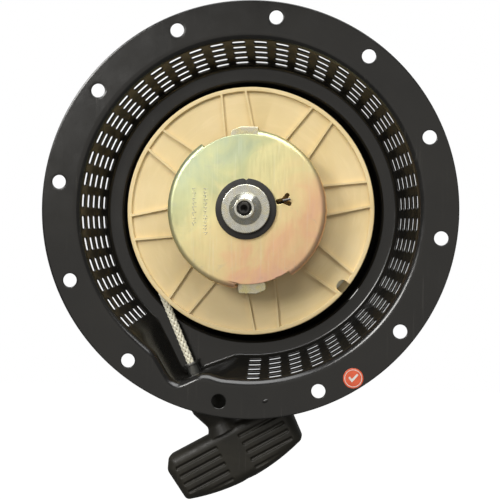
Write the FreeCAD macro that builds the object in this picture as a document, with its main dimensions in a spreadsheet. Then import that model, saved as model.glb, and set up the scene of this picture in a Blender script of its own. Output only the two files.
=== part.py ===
"""Recoil starter of a small diesel engine, modelled piece by piece.

Every piece is drawn about the starter's own axis: z runs along the axis towards the engine, z = 0 is
the flange face that bolts to the engine, and x and y lie in that face.  The placement `upright` then
stands the starter up, with its open side facing -Y and +Z up.
"""
import FreeCAD, Part

import math
import os

import Sketcher
from FreeCAD import Placement, Rotation, Vector

doc = FreeCAD.newDocument("RecoilStarter")
upright = Placement(Vector(0, 0, 0), Rotation(Vector(1, 0, 0), 90))

# --------------------------------------------------------------------------- driving dimensions

DIMENSIONS = {
    # pressed steel housing
    "sheet": 1.6,
    "flange_radius": 135,
    "bolt_circle_radius": 125,
    "bolt_hole_radius": 4.5,
    "bolt_count": 12,
    "bolt_phase": 22,
    "mouth_radius": 111.1,
    "mouth_roll": 6,
    "shoulder_radius": 96.9,
    "shoulder_depth": 29,
    "cup_radius": 86.5,
    "cup_depth": 45,
    "cup_corner": 6,
    "press_corner": 3,
    "slot_length": 8.6,
    "slot_width": 2.4,
    "slot_first": 5.8,
    "slot_pitch": 5.3,
    "slot_rows": 5,
    "slot_groups": 42,
    "slot_phase": -87.7,
    "slot_sector": 310.2,
    # rope and the pocket that it leaves through
    "rope_radius": 2.5,
    "rope_level": -23.5,
    "wound_radius": 76.3,
    "wound_step": 2.6,
    "guide_x": -35.3,
    "guide_y": -111.5,
    "pocket_start": 43,
    "pocket_wall": 86,
    "pocket_near": 66,
    "pocket_far": 87,
    "pocket_bend": 81,
    "pocket_bend_far": 90,
    "pocket_turn": 62,
    "pocket_turn_far": 92.5,
    "pocket_start_far": 102.4,
    "guide_bore": 2.9,
    "guide_tube": 4.3,
    "guide_lip": 5.2,
    "guide_reach": 7.9,
    # centre post
    "post_radius": 9,
    "post_base_radius": 15,
    "post_shoulder": 10.2,
    "post_top": 21,
    "thread_radius": 4,
    "rivet_radius": 7,
    "rivet_head_radius": 11,
    # reel
    "reel_radius": 82,
    "reel_rim": 3,
    "reel_front": -16.5,
    "reel_web": -18.5,
    "groove_front": -20.6,
    "groove_back": -26.4,
    "reel_back": -29.4,
    "groove_floor": 60,
    "reel_boss_radius": 46,
    "reel_boss": -13,
    "hub_radius": 16,
    "hub_back": -42.7,
    "bush_radius": 11.5,
    "bush_bore": 9.04,
    "rib_thickness": 1.5,
    "rib_inner_half": 9.2,
    "rib_outer_half": 7.3,
    "rib_phase": 8.5,
    "rope_notch_angle": -38.5,
    # spiral spring
    "spring_back": -42.8,
    "spring_width": 11,
    "spring_thickness": 0.9,
    "spring_inner": 18.5,
    "spring_step": 1.55,
    "spring_half_turns": 33,
    "anchor_radius": 2.5,
    # pawls
    "pawl_pivot_radius": 43,
    "pawl_pivot_angle": 86,
    "pawl_pin_radius": 3.5,
    "pawl_bore": 3.56,
    "pawl_back": -12.8,
    "pawl_front": -6.8,
    # friction plate and what holds it
    "plate_radius": 51,
    "plate_thickness": 1.5,
    "plate_top": 8,
    "plate_skirt": -10,
    "plate_corner": 4,
    "plate_hole": 9.6,
    "plate_cutback": 47.9,
    "window_start": 82,
    "window_end": 125,
    "ring_radius": 19.5,
    "washer_radius": 15.5,
    "washer_thickness": 2,
    "nut_flange_radius": 10.3,
    "nut_across_flats": 13,
    "nut_height": 8,
    "friction_spring_radius": 12.2,
    "friction_wire": 1,
    "return_spring_radius": 18,
    "return_wire": 0.8,
    "return_slot_angle": 13,
    # handle
    "handle_tilt": 29,
    "handle_start": 3.6,
    "grip_top": 37.6,
    "grip_bottom": 68.6,
    "grip_bulge": 80.8,
    "grip_half": 46,
    "grip_thickness": 22,
    "grip_edge": 7,
    "stem_radius": 9,
    "collar_radius": 13.5,
    "collar_end": 21,
    "handle_bore": 3.3,
    "knot_pocket_radius": 6.5,
    "knot_pocket_floor": 50,
    "groove_width": 2.2,
    "groove_depth": 1.3,
    "groove_pitch": 5.8,
    # inspection sticker
    "sticker_radius": 6.5,
    "sticker_x": 69,
    "sticker_y": -107.2,
}


class Size:
    """A length, count or angle together with the spreadsheet expression that gives it."""

    def __init__(self, value, text):
        self.value = value
        self.text = text

    def __add__(self, other):
        other = sized(other)
        return Size(self.value + other.value, f"({self.text} + {other.text})")

    def __sub__(self, other):
        other = sized(other)
        return Size(self.value - other.value, f"({self.text} - {other.text})")

    def __mul__(self, other):
        other = sized(other)
        return Size(self.value * other.value, f"({self.text} * {other.text})")

    def __truediv__(self, other):
        other = sized(other)
        return Size(self.value / other.value, f"({self.text} / {other.text})")

    def __neg__(self):
        return Size(-self.value, f"(0 - {self.text})")

    def __rsub__(self, other):
        return sized(other) - self

    __radd__ = __add__
    __rmul__ = __mul__


def sized(number):
    """A Size from a plain number, or the Size itself."""
    if isinstance(number, Size):
        return number
    return Size(float(number), repr(float(number)))


def root(size):
    return Size(math.sqrt(size.value), f"sqrt({size.text})")


class Dimensions:
    """The spreadsheet, with one attribute for each alias."""

    def __init__(self):
        sheet = doc.addObject("Spreadsheet::Sheet", "Sizes")
        for row, (alias, value) in enumerate(DIMENSIONS.items(), start=1):
            sheet.set(f"A{row}", alias)
            sheet.set(f"B{row}", str(value))
            sheet.setAlias(f"B{row}", alias)
            setattr(self, alias, Size(float(value), f"Sizes.{alias}"))


D = Dimensions()
doc.recompute()

# --------------------------------------------------------------------------- drawing helpers


def bind(obj, prop, size):
    """Give a property the size, and bind it to the spreadsheet when it comes from there."""
    size = sized(size)
    obj.setExpression(prop, size.text)


def new_body(name, placement=None):
    body = doc.addObject("PartDesign::Body", name)
    body.Label = name
    body.Placement = upright * (placement or Placement())
    return body


def origin_plane(body, role):
    return next(f for f in body.Origin.OriginFeatures if f.Role == role)


def new_sketch(body, role="XY_Plane", offset=None):
    sketch = body.newObject("Sketcher::SketchObject", body.Name + "Sketch")
    sketch.AttachmentSupport = [(origin_plane(body, role), "")]
    sketch.MapMode = "FlatFace"
    sketch.AttachmentOffset = offset or Placement()
    return sketch


def measure(sketch, kind, geometry, position, size):
    """A distance from the sketch's origin, bound to the spreadsheet."""
    if size.value == 0:
        axis = -2 if kind == "DistanceX" else -1
        sketch.addConstraint(Sketcher.Constraint("PointOnObject", geometry, position, axis))
        return
    index = sketch.addConstraint(Sketcher.Constraint(kind, -1, 1, geometry, position, size.value))
    sketch.setExpression(f"Constraints[{index}]", size.text)


def outline(sketch, corners):
    """A closed outline through corners (x, y) or (x, y, radius); a radius makes a tangent arc."""
    first = sketch.GeometryCount
    spots = [(sized(c[0]), sized(c[1])) for c in corners]
    count = len(spots)
    for i in range(count):
        start, end = spots[i], spots[(i + 1) % count]
        line = Part.LineSegment(
            Vector(start[0].value, start[1].value, 0), Vector(end[0].value, end[1].value, 0)
        )
        sketch.addGeometry(line, False)
    for i in range(count):
        after = (i + 1) % count
        sketch.addConstraint(Sketcher.Constraint("Coincident", first + i, 2, first + after, 1))
    for i in range(count):
        measure(sketch, "DistanceX", first + i, 1, spots[i][0])
        measure(sketch, "DistanceY", first + i, 1, spots[i][1])
    for i in range(count):
        if len(corners[i]) == 3:
            round_corner(sketch, first + i, sized(corners[i][2]))
    return sketch


def round_corner(sketch, line, radius):
    before = sketch.GeometryCount
    sketch.fillet(line, 1, radius.value, True, True)
    arcs = range(before, sketch.GeometryCount)
    arc = next(i for i in arcs if sketch.Geometry[i].TypeId == "Part::GeomArcOfCircle")
    index = sketch.addConstraint(Sketcher.Constraint("Radius", arc, radius.value))
    sketch.setExpression(f"Constraints[{index}]", radius.text)


def circle(sketch, x, y, radius):
    x, y, radius = sized(x), sized(y), sized(radius)
    ring = Part.Circle(Vector(x.value, y.value, 0), Vector(0, 0, 1), radius.value)
    index = sketch.addGeometry(ring, False)
    measure(sketch, "DistanceX", index, 3, x)
    measure(sketch, "DistanceY", index, 3, y)
    constraint = sketch.addConstraint(Sketcher.Constraint("Radius", index, radius.value))
    sketch.setExpression(f"Constraints[{constraint}]", radius.text)
    return sketch


def slot_hole(sketch, x, y, length, width):
    """A slot with round ends, long along the sketch's y."""
    half = width / 2
    reach = length / 2
    outline(
        sketch,
        [
            (x - half, y - reach, half * 0.98),
            (x + half, y - reach, half * 0.98),
            (x + half, y + reach, half * 0.98),
            (x - half, y + reach, half * 0.98),
        ],
    )


def spin(body, kind, sketch, angle=360):
    """Revolution adds and Groove cuts the outline turned about the sketch's y axis."""
    feature = body.newObject("PartDesign::" + kind, body.Name + kind)
    feature.Profile = sketch
    feature.ReferenceAxis = (sketch, ["V_Axis"])
    feature.Midplane = True
    bind(feature, "Angle", angle)
    return feature


def spun_body(name, corners, placement=None):
    """A turned or pressed piece: its half section (radius, height), spun about the axis."""
    body = new_body(name, placement)
    spin(body, "Revolution", outline(new_sketch(body, "XZ_Plane"), corners))
    return body


def pad(body, sketch, length, reverse=False, both_ways=False):
    feature = body.newObject("PartDesign::Pad", body.Name + "Pad")
    feature.Profile = sketch
    feature.Midplane = both_ways
    feature.Reversed = reverse
    bind(feature, "Length", length)
    return feature


def pocket(body, sketch, length, reverse=False, both_ways=False):
    """Cut against the sketch's normal, or along it when reversed; it must remove material."""
    doc.recompute()
    before = body.Shape.Volume
    feature = body.newObject("PartDesign::Pocket", body.Name + "Pocket")
    feature.Profile = sketch
    feature.Midplane = both_ways
    feature.Reversed = reverse
    bind(feature, "Length", length)
    doc.recompute()
    if not body.Shape.Volume < before:
        raise RuntimeError(f"{body.Name}: {feature.Name} cuts nothing")
    return feature


def around(body, feature, count, angle=360):
    """Repeat a feature around the sketch's own z axis."""
    pattern = body.newObject("PartDesign::PolarPattern", body.Name + "Polar")
    pattern.Originals = [feature]
    pattern.Axis = (next(f for f in body.Origin.OriginFeatures if f.Role == "Z_Axis"), [""])
    bind(pattern, "Angle", angle)
    bind(pattern, "Occurrences", count)
    body.Tip = pattern
    return pattern


def soften(body, kind, size, chosen):
    """Fillet or Chamfer the edges of the body that `chosen` picks."""
    doc.recompute()
    base = body.Tip
    names = [f"Edge{i}" for i, edge in enumerate(base.Shape.Edges, start=1) if chosen(edge)]
    feature = body.newObject("PartDesign::" + kind, body.Name + kind)
    feature.Base = (base, names)
    bind(feature, "Radius" if kind == "Fillet" else "Size", size)
    return feature


def raised(height, turn=0, x=0, y=0):
    """A placement at a height along the axis, turned about the axis."""
    return Placement(Vector(x, y, height), Rotation(Vector(0, 0, 1), turn))


def free_shape(name, shape, placement=None):
    """A sub-part whose shape comes from Part's own functions."""
    feature = doc.addObject("Part::Feature", name)
    feature.Label = name
    feature.Shape = shape
    feature.Placement = upright * (placement or Placement())
    return feature


def polar(radius, degrees):
    angle = math.radians(degrees)
    return Vector(radius * math.cos(angle), radius * math.sin(angle), 0)


class Path:
    """A flat path of straight runs and tangent arcs, laid down from a start point and a heading."""

    def __init__(self, start, heading):
        self.point = Vector(start)
        self.heading = heading
        self.pieces = []

    def run(self, length):
        end = self.point + polar(length, self.heading)
        self.pieces.append(("run", self.point, end, self.heading, 0, 0))
        self.point = end
        return self

    def turn(self, radius, degrees):
        """Turn left by positive degrees, right by negative ones."""
        side = 1 if degrees > 0 else -1
        centre = self.point + polar(radius, self.heading + 90 * side)
        end = centre + polar(radius, self.heading - 90 * side + degrees)
        self.pieces.append(("turn", self.point, end, self.heading, degrees, centre))
        self.point = end
        self.heading += degrees
        return self

    def edges(self, shift=0):
        """Edges of the path moved sideways by shift, to the left when positive."""
        made = []
        for kind, start, end, heading, degrees, centre in self.pieces:
            if kind == "run":
                aside = polar(shift, heading + 90)
                made.append(Part.LineSegment(start + aside, end + aside).toShape())
                continue
            side = 1 if degrees > 0 else -1
            scale = ((start - centre).Length - shift * side) / (start - centre).Length
            spoke = (start - centre) * scale
            middle = Rotation(Vector(0, 0, 1), degrees / 2).multVec(spoke)
            last = Rotation(Vector(0, 0, 1), degrees).multVec(spoke)
            made.append(Part.Arc(centre + spoke, centre + middle, centre + last).toShape())
        return made

    def rod(self, radius):
        """A round rod swept along the path."""
        wire = Part.Wire(self.edges())
        first = self.pieces[0]
        section = Part.Wire(Part.makeCircle(radius, first[1], polar(1, first[3])))
        return wire.makePipeShell([section], True, True)

    def strip(self, thickness, width):
        """A strip of sheet on edge along the path."""
        left = self.edges(thickness / 2)
        right = self.edges(-thickness / 2)
        caps = [
            Part.makeLine(left[0].firstVertex().Point, right[0].firstVertex().Point),
            Part.makeLine(left[-1].lastVertex().Point, right[-1].lastVertex().Point),
        ]
        ordered = Part.Wire(Part.__sortEdges__(left + right + caps))
        return Part.Face(ordered).extrude(Vector(0, 0, width))

    def length(self):
        return sum(edge.Length for edge in self.edges())


# --------------------------------------------------------------------------- where the rope runs

guide = Vector(D.guide_x.value, D.guide_y.value, 0)
guide_distance = guide.Length
guide_run = math.sqrt(guide_distance**2 - D.wound_radius.value**2)
rope_lean = math.asin(D.wound_radius.value / guide_distance)
rope_heading = math.degrees(math.atan2(guide.y, guide.x) + rope_lean)
pull_heading = D.handle_tilt.value - 90
tangent_point = polar(D.wound_radius.value, rope_heading - 90)
along_rope = Placement(Vector(0, 0, 0), Rotation(Vector(0, 0, 1), rope_heading))
at_guide = Placement(guide, Rotation(Vector(0, 0, 1), pull_heading))


def cross_section(distance):
    """A sketch offset square to the rope, at a distance along it, on a body's YZ plane."""
    turn = Rotation(Vector(0, 1, 0), rope_heading)
    return Placement(turn.multVec(Vector(0, 0, distance)), turn)


# --------------------------------------------------------------------------- housing


def pocket_outline(body, deep, skin):
    """The rope pocket's outline at the flange (deep 0) or the shoulder (deep 1), grown by skin."""
    depth = (D.shoulder_depth + skin) * deep
    sketch = new_sketch(body, "XY_Plane", raised(-depth.value) * along_rope)
    sketch.setExpression("AttachmentOffset.Base.z", f"0 - {depth.text}")
    wall = D.pocket_wall + skin
    start_run = D.pocket_start - 7 * deep
    outline(
        sketch,
        [
            (start_run, -(D.pocket_near - skin)),
            (wall, -(D.pocket_near - skin), 10 + skin),
            (wall, -(D.pocket_far - 3 * deep + skin * 0.7), 6 - deep + skin),
            (D.pocket_bend - deep + skin * 0.5, -(D.pocket_bend_far - 4.5 * deep + skin * 0.9), 8),
            (D.pocket_turn - deep, -(D.pocket_turn_far - 6 * deep + skin), 14),
            (start_run, -(D.pocket_start_far - 12.6 * deep + skin)),
        ],
    )
    return sketch


def loft(body, kind, near, far):
    """Add or cut the straight-sided solid between two outlines."""
    feature = body.newObject("PartDesign::" + kind, body.Name + kind)
    feature.Profile = near
    feature.Sections = [far]
    feature.Ruled = True
    body.Tip = feature
    return feature


def housing():
    body = new_body("housing")
    wall_slope = (D.mouth_radius - D.shoulder_radius) / D.shoulder_depth
    wall_sheet = D.sheet * root(wall_slope * wall_slope + 1)
    outside = [
        (0, -D.cup_depth - D.sheet),
        (D.cup_radius + D.sheet, -D.cup_depth - D.sheet, D.cup_corner + D.sheet),
        (D.cup_radius + D.sheet, -D.shoulder_depth - D.sheet, D.press_corner - D.sheet),
        (D.shoulder_radius + wall_sheet, -D.shoulder_depth - D.sheet, D.press_corner + D.sheet),
        (D.mouth_radius + wall_sheet - wall_slope * D.sheet, -D.sheet, D.mouth_roll - D.sheet),
        (D.flange_radius, -D.sheet),
        (D.flange_radius, 0),
        (0, 0),
    ]
    spin(body, "Revolution", outline(new_sketch(body, "XZ_Plane"), outside))

    near, far = [pocket_outline(body, deep, D.sheet) for deep in (0, 1)]
    loft(body, "AdditiveLoft", near, far)

    inside = [
        (0, -D.cup_depth),
        (D.cup_radius, -D.cup_depth, D.cup_corner),
        (D.cup_radius, -D.shoulder_depth, D.press_corner),
        (D.shoulder_radius, -D.shoulder_depth, D.press_corner),
        (D.mouth_radius, 0, D.mouth_roll),
        (D.mouth_radius + 12, 0),
        (D.mouth_radius + 12, 5),
        (0, 5),
    ]
    spin(body, "Groove", outline(new_sketch(body, "XZ_Plane"), inside))

    near, far = [pocket_outline(body, deep, sized(0)) for deep in (0, 1)]
    loft(body, "SubtractiveLoft", near, far)

    rope_hole = new_sketch(body, "YZ_Plane", cross_section(guide_run))
    circle(rope_hole, -D.wound_radius, D.rope_level, D.guide_tube + 0.05)
    pocket(body, rope_hole, 12, both_ways=True)

    centre_hole = circle(new_sketch(body), 0, 0, D.rivet_radius)
    pocket(body, centre_hole, D.cup_depth + 5)

    anchor_hole = circle(new_sketch(body), spring_anchor().x, spring_anchor().y, D.anchor_radius)
    pocket(body, anchor_hole, D.cup_depth + 5)

    bolt_hole_sketch = new_sketch(body, "XY_Plane", raised(0, D.bolt_phase.value))
    circle(bolt_hole_sketch, D.bolt_circle_radius, 0, D.bolt_hole_radius)
    around(body, pocket(body, bolt_hole_sketch, 4), D.bolt_count)

    inward = D.shoulder_radius - D.mouth_radius
    lean = math.degrees(math.atan2(D.shoulder_depth.value, inward.value))
    on_wall = raised(0, D.slot_phase.value) * Placement(
        Vector(D.mouth_radius.value, 0, 0), Rotation(Vector(0, 1, 0), lean)
    )
    slots = new_sketch(body, "XY_Plane", on_wall)
    for row in range(int(D.slot_rows.value)):
        slot_hole(slots, D.slot_first + D.slot_pitch * row, sized(0), D.slot_length, D.slot_width)
    around(body, pocket(body, slots, 7, both_ways=True), D.slot_groups, D.slot_sector)
    return body


# --------------------------------------------------------------------------- centre post


def centre_post():
    cup = -D.cup_depth
    rivet = -D.cup_depth - D.sheet - 2
    return spun_body(
        "centre_post",
        [
            (0, rivet - 2.4),
            (D.rivet_head_radius - 2, rivet - 2.4, 1.5),
            (D.rivet_head_radius, rivet),
            (D.rivet_radius, rivet),
            (D.rivet_radius, cup),
            (D.post_base_radius, cup),
            (D.post_base_radius, cup + 2),
            (D.post_radius, cup + 2),
            (D.post_radius, D.post_shoulder),
            (D.thread_radius, D.post_shoulder),
            (D.thread_radius, D.post_top - 1),
            (D.thread_radius - 1, D.post_top),
            (0, D.post_top),
        ],
    )


def post_backing_washer():
    back = -D.cup_depth - D.sheet
    return spun_body(
        "post_backing_washer",
        [
            (D.rivet_radius, back - 2),
            (D.rivet_head_radius + 8, back - 2, 0.6),
            (D.rivet_head_radius + 8, back),
            (D.rivet_radius, back),
        ],
    )


# --------------------------------------------------------------------------- spiral spring


def spring_path():
    """The strip starts in the hub's slot, winds outwards and hooks around the anchor pin."""
    path = Path(Vector(12.6, 0, 0), 0)
    path.run(D.spring_inner.value - 12.6 - 2.4)
    path.turn(2.4, 90)
    for half_turn in range(int(D.spring_half_turns.value)):
        path.turn(D.spring_inner.value + half_turn * D.spring_step.value, 180)
    return path


def spring_anchor():
    """The anchor pin's centre, just outside the end of the last half turn."""
    path = spring_path()
    return path.point + polar(D.anchor_radius.value + D.spring_thickness.value, path.heading - 90)


def recoil_spring():
    path = spring_path()
    path.turn(D.anchor_radius.value + D.spring_thickness.value, -250)
    strip = path.strip(D.spring_thickness.value, D.spring_width.value)
    return free_shape("recoil_spring", strip, raised(D.spring_back.value))


def spring_anchor_pin():
    back = -D.cup_depth - D.sheet
    anchor = spring_anchor()
    return spun_body(
        "spring_anchor_pin",
        [
            (0, back - 1.8),
            (D.anchor_radius + 1.7, back - 1.8, 0.7),
            (D.anchor_radius + 1.7, back),
            (D.anchor_radius, back),
            (D.anchor_radius, D.spring_back + D.spring_width - 0.4),
            (D.anchor_radius - 0.4, D.spring_back + D.spring_width),
            (0, D.spring_back + D.spring_width),
        ],
        Placement(anchor, Rotation()),
    )


# --------------------------------------------------------------------------- reel


def wound_path():
    """Two turns from the point where the rope leaves the reel, inwards to the knot."""
    path = Path(tangent_point, rope_heading + 180)
    for half_turn in range(4):
        path.turn(D.wound_radius.value - half_turn * D.wound_step.value, -180)
    path.turn(8, -90)
    return path


def reel():
    body = new_body("reel")
    section = [
        (D.bush_radius, D.hub_back),
        (D.hub_radius, D.hub_back),
        (D.hub_radius, D.reel_back),
        (D.reel_radius, D.reel_back, 1),
        (D.reel_radius, D.groove_back),
        (D.groove_floor, D.groove_back),
        (D.groove_floor, D.groove_front),
        (D.reel_radius, D.groove_front),
        (D.reel_radius, D.reel_front, 0.8),
        (D.reel_radius - D.reel_rim, D.reel_front, 0.5),
        (D.reel_radius - D.reel_rim, D.reel_web),
        (D.reel_boss_radius, D.reel_web),
        (D.reel_boss_radius, D.reel_boss, 1),
        (D.bush_radius, D.reel_boss),
    ]
    spin(body, "Revolution", outline(new_sketch(body, "XZ_Plane"), section))

    inner = D.reel_boss_radius - 1
    outer = D.reel_radius - D.reel_rim + 1
    ribs = new_sketch(body, "XY_Plane", raised(D.reel_web.value, D.rib_phase.value))
    for side in (1, -1):
        outline(
            ribs,
            [
                (inner, D.rib_inner_half * side),
                (outer, D.rib_outer_half * side),
                (outer, (D.rib_outer_half + D.rib_thickness) * side),
                (inner, (D.rib_inner_half + D.rib_thickness) * side),
            ],
        )
    around(body, pad(body, ribs, D.reel_front - D.reel_web), 8)

    catch = new_sketch(body, "XY_Plane", raised(D.reel_front.value, D.rope_notch_angle.value))
    outline(
        catch,
        [
            (D.reel_radius - 7, -4, 3.4),
            (D.reel_radius + 1, -4),
            (D.reel_radius + 1, 4),
            (D.reel_radius - 7, 4, 3.4),
        ],
    )
    pocket(body, catch, D.reel_front - D.groove_front + 0.2)

    knot = wound_path().point
    toward_hub = Placement(Vector(knot), Rotation(Vector(0, 0, 1), wound_path().heading))
    channel = new_sketch(body, "XY_Plane", raised(D.groove_back.value) * toward_hub)
    outline(channel, [(-12, -3.2), (9, -3.2), (9, 12), (-12, 12)])
    pocket(body, channel, D.groove_front - D.groove_back, reverse=True)
    knot_seat = new_sketch(body, "XY_Plane", raised(D.reel_back.value) * toward_hub)
    circle(knot_seat, 7, 0, 7)
    pocket(body, knot_seat, D.groove_front - D.reel_back, reverse=True)

    pins = new_sketch(body, "XY_Plane", raised(D.reel_boss.value, D.pawl_pivot_angle.value))
    circle(pins, D.pawl_pivot_radius, 0, D.pawl_pin_radius)
    around(body, pocket(body, pins, 10), 2)

    leg_hole = new_sketch(body, "XY_Plane", raised(D.reel_boss.value, D.return_slot_angle.value))
    circle(leg_hole, -D.return_spring_radius, 0, D.return_wire + 0.2)
    pocket(body, leg_hole, 6)

    tang_slot = new_sketch(body, "XY_Plane", raised(D.hub_back.value))
    outline(tang_slot, [(12, -1), (D.hub_radius + 2, -1), (D.hub_radius + 2, 1), (12, 1)])
    pocket(body, tang_slot, D.reel_back - D.hub_back - 1, reverse=True)
    return body


def reel_bush():
    return spun_body(
        "reel_bush",
        [
            (D.bush_bore, D.hub_back),
            (D.bush_radius, D.hub_back),
            (D.bush_radius, D.reel_boss),
            (D.bush_bore, D.reel_boss),
        ],
    )


def wound_rope():
    path = wound_path()
    path.run(3.5)
    print(f"rope wound on the reel: {path.length():.0f} mm")
    return free_shape("rope_wound", path.rod(D.rope_radius.value), raised(D.rope_level.value))


def rope_knot():
    path = wound_path()
    path.run(7)
    knot = doc.addObject("Part::Ellipsoid", "rope_knot")
    knot.Label = "rope_knot"
    knot.Radius1 = 3.6
    knot.Radius2 = 6
    knot.Radius3 = 6
    centre = path.point + Vector(0, 0, D.rope_level.value - 1.1)
    knot.Placement = upright * Placement(centre, Rotation())
    return knot


# --------------------------------------------------------------------------- rope outside the reel


def rope_run():
    """The straight rope from the reel through the guide."""
    path = Path(tangent_point, rope_heading)
    path.run(guide_run - 6)
    bend = pull_heading - rope_heading
    path.turn(12 / math.radians(bend), bend)
    return path


def rope_to_guide():
    path = rope_run()
    print(f"rope from the reel through the guide: {path.length():.0f} mm")
    return free_shape("rope_run", path.rod(D.rope_radius.value), raised(D.rope_level.value))


def rope_outer():
    """The rope from the guide's mouth to the knot in the handle."""
    path = rope_run()
    path.pieces = []
    path.run(D.knot_pocket_floor.value - 2)
    return free_shape("rope_outer", path.rod(D.rope_radius.value), raised(D.rope_level.value))


def rope_guide():
    """A ferrule through the pocket's wall, with a rolled lip at each end."""
    wall = D.guide_reach
    behind = D.guide_reach + D.sheet
    inner_end = tangent_point + polar((D.pocket_wall - D.guide_reach).value, rope_heading)
    along = Placement(
        inner_end + Vector(0, 0, D.rope_level.value),
        Rotation(Vector(0, 0, 1), rope_heading) * Rotation(Vector(0, 1, 0), 90),
    )
    return spun_body(
        "rope_guide",
        [
            (D.guide_bore + 0.8, 0, 0.7),
            (D.guide_lip, 0, 0.7),
            (D.guide_lip, 2, 0.5),
            (D.guide_tube, 2),
            (D.guide_tube, behind),
            (D.guide_lip + 0.6, behind),
            (D.guide_lip + 0.6, behind + 1.4, 0.5),
            (D.guide_bore + 0.8, behind + 1.4, 0.6),
            (D.guide_bore, wall),
            (D.guide_bore, 3),
        ],
        along,
    )


# --------------------------------------------------------------------------- pawls


def pawl(name, turn):
    """A pawl about its own pivot: x runs round the reel the way it turns, y points outwards."""
    angle = D.pawl_pivot_angle.value + turn
    pivot = polar(D.pawl_pivot_radius.value, angle)
    facing = Rotation(Vector(0, 0, 1), angle + 90) * Rotation(Vector(1, 0, 0), 180)
    body = new_body(name, Placement(pivot + Vector(0, 0, D.pawl_front.value), facing))
    shape = new_sketch(body)
    outline(
        shape,
        [
            (-5.6, -3.6, 3.5),
            (-2.2, 11.6, 1.2),
            (9.4, 11, 3),
            (15.6, 8, 2),
            (15.2, 3.6, 1.5),
            (4.6, -5.6, 3.5),
        ],
    )
    pad(body, shape, D.pawl_front - D.pawl_back)
    hole = circle(new_sketch(body), 0, 0, D.pawl_bore)
    pocket(body, hole, 20, reverse=True)
    return body


def pawl_pin(name, turn):
    pivot = polar(D.pawl_pivot_radius.value, D.pawl_pivot_angle.value + turn)
    top = D.pawl_front + 1
    return spun_body(
        name,
        [
            (0, D.reel_boss - 10),
            (D.pawl_pin_radius, D.reel_boss - 10),
            (D.pawl_pin_radius, top - 0.6),
            (D.pawl_pin_radius - 0.6, top),
            (0, top),
        ],
        Placement(pivot, Rotation()),
    )


# --------------------------------------------------------------------------- friction plate


def friction_plate():
    body = new_body("friction_plate")
    under = D.plate_top - D.plate_thickness
    inner = D.plate_radius - D.plate_thickness
    section = [
        (D.plate_hole, under),
        (inner, under, D.plate_corner - D.plate_thickness),
        (inner, D.plate_skirt),
        (D.plate_radius, D.plate_skirt),
        (D.plate_radius, D.plate_top, D.plate_corner),
        (D.plate_hole, D.plate_top),
    ]
    spin(body, "Revolution", outline(new_sketch(body, "XZ_Plane"), section))

    middle = (D.window_start.value + D.window_end.value) / 2
    window = new_sketch(body, "XZ_Plane", Placement(Vector(), Rotation(Vector(0, 1, 0), middle)))
    outline(
        window,
        [
            (D.plate_cutback, D.plate_skirt - 1),
            (D.plate_radius + 1, D.plate_skirt - 1),
            (D.plate_radius + 1, D.plate_top + 1),
            (D.plate_cutback, D.plate_top + 1),
        ],
    )
    around(body, spin(body, "Groove", window, D.window_end - D.window_start), 2)

    slot = new_sketch(body, "XY_Plane", raised(D.plate_top.value + 1, D.return_slot_angle.value))
    outline(
        slot,
        [
            (19.6, -1.6, 1.2),
            (24, -1.6, 1),
            (27.6, -4.6, 1.2),
            (29.4, -2.6, 1.2),
            (26.4, 0, 0.6),
            (29.4, 2.6, 1.2),
            (27.6, 4.6, 1.2),
            (24, 1.6, 1),
            (19.6, 1.6, 1.2),
        ],
    )
    pocket(body, slot, 4)
    return body


def friction_ring():
    body = spun_body(
        "friction_ring",
        [
            (D.post_radius + 0.2, D.plate_top + 0.1),
            (D.ring_radius, D.plate_top + 0.1, 0.4),
            (D.ring_radius, D.post_shoulder, 0.6),
            (D.post_radius + 0.2, D.post_shoulder),
        ],
    )
    nick = new_sketch(body, "XY_Plane", raised(D.post_shoulder.value + 1))
    outline(
        nick,
        [
            (-1.2, D.ring_radius - 2.4),
            (1.2, D.ring_radius - 2.4),
            (1.6, D.ring_radius + 2),
            (-1.6, D.ring_radius + 2),
        ],
    )
    pocket(body, nick, 6)
    return body


def flat_washer():
    return spun_body(
        "flat_washer",
        [
            (D.thread_radius + 0.2, D.post_shoulder),
            (D.washer_radius, D.post_shoulder, 0.2),
            (D.washer_radius, D.post_shoulder + D.washer_thickness, 0.6),
            (D.thread_radius + 0.2, D.post_shoulder + D.washer_thickness),
        ],
    )


def flange_nut():
    """A hexagon nut with a conical flange, bored to the thread's own radius."""
    seat = D.post_shoulder + D.washer_thickness
    body = spun_body(
        "flange_nut",
        [
            (D.thread_radius, seat),
            (D.nut_flange_radius, seat, 0.3),
            (D.nut_flange_radius, seat + 1.2, 0.5),
            (D.nut_across_flats * 0.5, seat + 3.4),
            (D.thread_radius, seat + 3.4),
        ],
    )
    across = D.nut_across_flats / 2
    corner = D.nut_across_flats / root(sized(3))
    hexagon = new_sketch(body, "XY_Plane", raised(seat.value + 1))
    half = corner / 2
    outline(
        hexagon,
        [
            (corner, 0),
            (half, across),
            (-half, across),
            (-corner, 0),
            (-half, -across),
            (half, -across),
        ],
    )
    pad(body, hexagon, D.nut_height - 1)
    bore = circle(new_sketch(body, "XY_Plane", raised(D.post_top.value + 2)), 0, 0, D.thread_radius)
    pocket(body, bore, 20)
    return body


def coil(radius, wire, start, turns, pitch):
    """A helical spring's coils along z."""
    path = Part.makeHelix(pitch, turns * pitch, radius)
    path.translate(Vector(0, 0, start))
    section = Part.Wire(Part.makeCircle(wire, Vector(radius, 0, start), Vector(0, 1, 0)))
    return Part.Wire(path).makePipeShell([section], True, True)


def friction_spring():
    wire = D.friction_wire.value
    low = D.reel_boss.value + wire + 0.15
    high = D.plate_top.value - D.plate_thickness.value - wire - 0.3
    turns = 4
    shape = coil(D.friction_spring_radius.value, wire, low, turns, (high - low) / turns)
    return free_shape("friction_spring", shape)


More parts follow.
